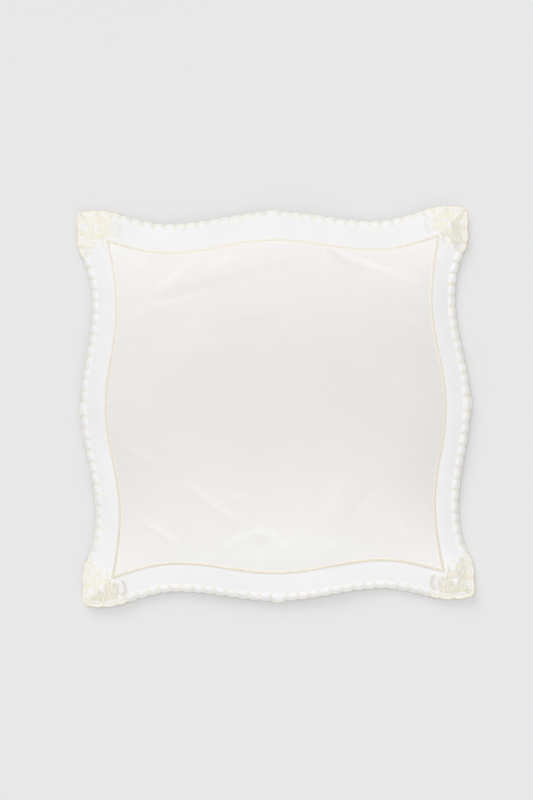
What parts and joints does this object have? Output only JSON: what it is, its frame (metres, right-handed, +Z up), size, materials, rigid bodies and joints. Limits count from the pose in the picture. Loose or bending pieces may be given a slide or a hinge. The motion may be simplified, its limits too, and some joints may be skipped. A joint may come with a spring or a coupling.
{
  "type": "ring bearer pillow",
  "caption": "Square stuffed ceremony cushion with a piped wavy seam, a flat wavy border, a shell hem and embroidered corners.",
  "frame": {"origin": "on the surface that the pillow lies on, under its middle", "axes": "+Z up through the crown of the front, +X to the right and +Y to the top as the front is seen from above"},
  "size_m": [0.25, 0.25, 0.035],
  "materials": {
    "panel_cloth": "fine plain-woven cloth with a faint sheen",
    "border_cloth": "smooth satin-faced cloth",
    "shell_cloth": "puffed satin-faced cloth",
    "piping_cord": "satin-covered cord with fine cross ribs",
    "cream_thread": "glossy rayon embroidery thread",
    "rose_thread": "glossy rayon embroidery thread, paler",
    "seam_thread": "twisted sewing thread",
    "ticking": "close plain-woven cotton",
    "filling": "loose polyester fibre"
  },
  "bodies": {
    "root": {"back_panel": "border_cloth", "border_bottom": "border_cloth", "border_left": "border_cloth", "border_right": "border_cloth", "border_top": "border_cloth", "corner_bud_bottom_left": "rose_thread", "corner_bud_bottom_right": "rose_thread", "corner_bud_top_left": "rose_thread", "corner_bud_top_right": "rose_thread", "corner_lace_bottom_left": "cream_thread", "corner_lace_bottom_right": "cream_thread", "corner_lace_top_left": "cream_thread", "corner_lace_top_right": "cream_thread", "corner_leaves_bottom_left": "rose_thread", "corner_leaves_bottom_right": "rose_thread", "corner_leaves_top_left": "rose_thread", "corner_leaves_top_right": "rose_thread", "corner_rose_bottom_left": "rose_thread", "corner_rose_bottom_right": "rose_thread", "corner_rose_top_left": "rose_thread", "corner_rose_top_right": "rose_thread", "edge_thread_bottom": "cream_thread", "edge_thread_left": "cream_thread", "edge_thread_right": "cream_thread", "edge_thread_top": "cream_thread", "front_panel": "panel_cloth", "insert_filling": "filling", "insert_ticking_back": "ticking", "insert_ticking_front": "ticking", "piping_bottom": "piping_cord", "piping_left": "piping_cord", "piping_right": "piping_cord", "piping_top": "piping_cord", "seam_stitching": "seam_thread", "shell_hem_bottom": "shell_cloth", "shell_hem_left": "shell_cloth", "shell_hem_right": "shell_cloth", "shell_hem_top": "shell_cloth"}
  },
  "joints": []
}
